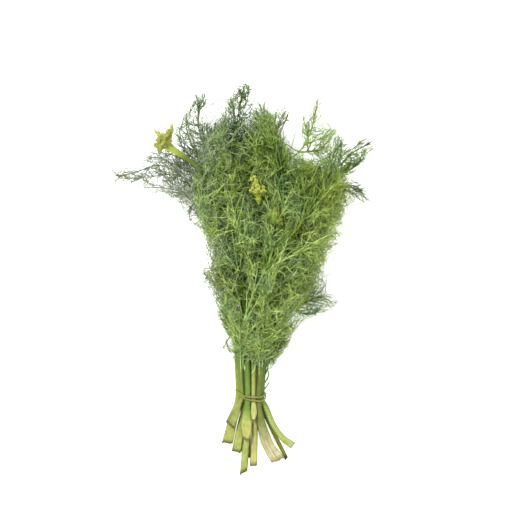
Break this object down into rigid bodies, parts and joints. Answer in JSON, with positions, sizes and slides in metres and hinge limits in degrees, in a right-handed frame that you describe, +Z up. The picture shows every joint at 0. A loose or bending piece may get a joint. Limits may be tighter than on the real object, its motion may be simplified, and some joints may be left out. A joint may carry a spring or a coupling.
{
  "type": "dill bunch",
  "caption": "Bunch of fresh dill lying on its side: pale cut stalks held by a doubled rubber band, fanning out into feathery leaves, a young sheathed leaf and a small yellow umbel.",
  "frame": {"origin": "middle of the rubber band's flat underside, on the table", "axes": "+X across the bunch, to the right as seen from above with the tips away from the viewer; +Y along the bunch, from the cut ends to the leaf tips; +Z up from the table"},
  "size_m": [0.2234, 0.3387, 0.0703],
  "materials": {
    "stalk": "moist pale yellow-green stalk, satin",
    "leaf": "mid-green feathery leaf, matt",
    "young_sheath": "lime-green young leaf and sheath, satin",
    "umbel": "yellow flower heads, matt",
    "rubber_band": "olive-tan rubber, satin"
  },
  "bodies": {
    "root": {"stalk_top_1": "stalk", "stalk_top_2": "stalk", "stalk_top_3": "stalk", "stalk_top_4": "stalk", "stalk_mid_1": "stalk", "stalk_mid_2": "stalk", "stalk_mid_3": "stalk", "stalk_mid_4": "stalk", "stalk_mid_5": "stalk", "stalk_low_1": "stalk", "stalk_low_2": "stalk", "stalk_low_3": "stalk", "stalk_low_4": "stalk", "leafy_top_top_1": "leaf", "leafy_top_top_2": "leaf", "leafy_top_top_3": "leaf", "leafy_top_top_4": "leaf", "leafy_top_mid_1": "leaf", "leafy_top_mid_2": "leaf", "leafy_top_mid_3": "leaf", "leafy_top_mid_4": "leaf", "leafy_top_mid_5": "leaf", "leafy_top_low_1": "leaf", "leafy_top_low_2": "leaf", "leafy_top_low_3": "leaf", "leafy_top_low_4": "leaf", "umbel": "umbel", "bud_sheath": "young_sheath", "young_leaf": "young_sheath", "rubber_band": "rubber_band"}
  },
  "joints": []
}
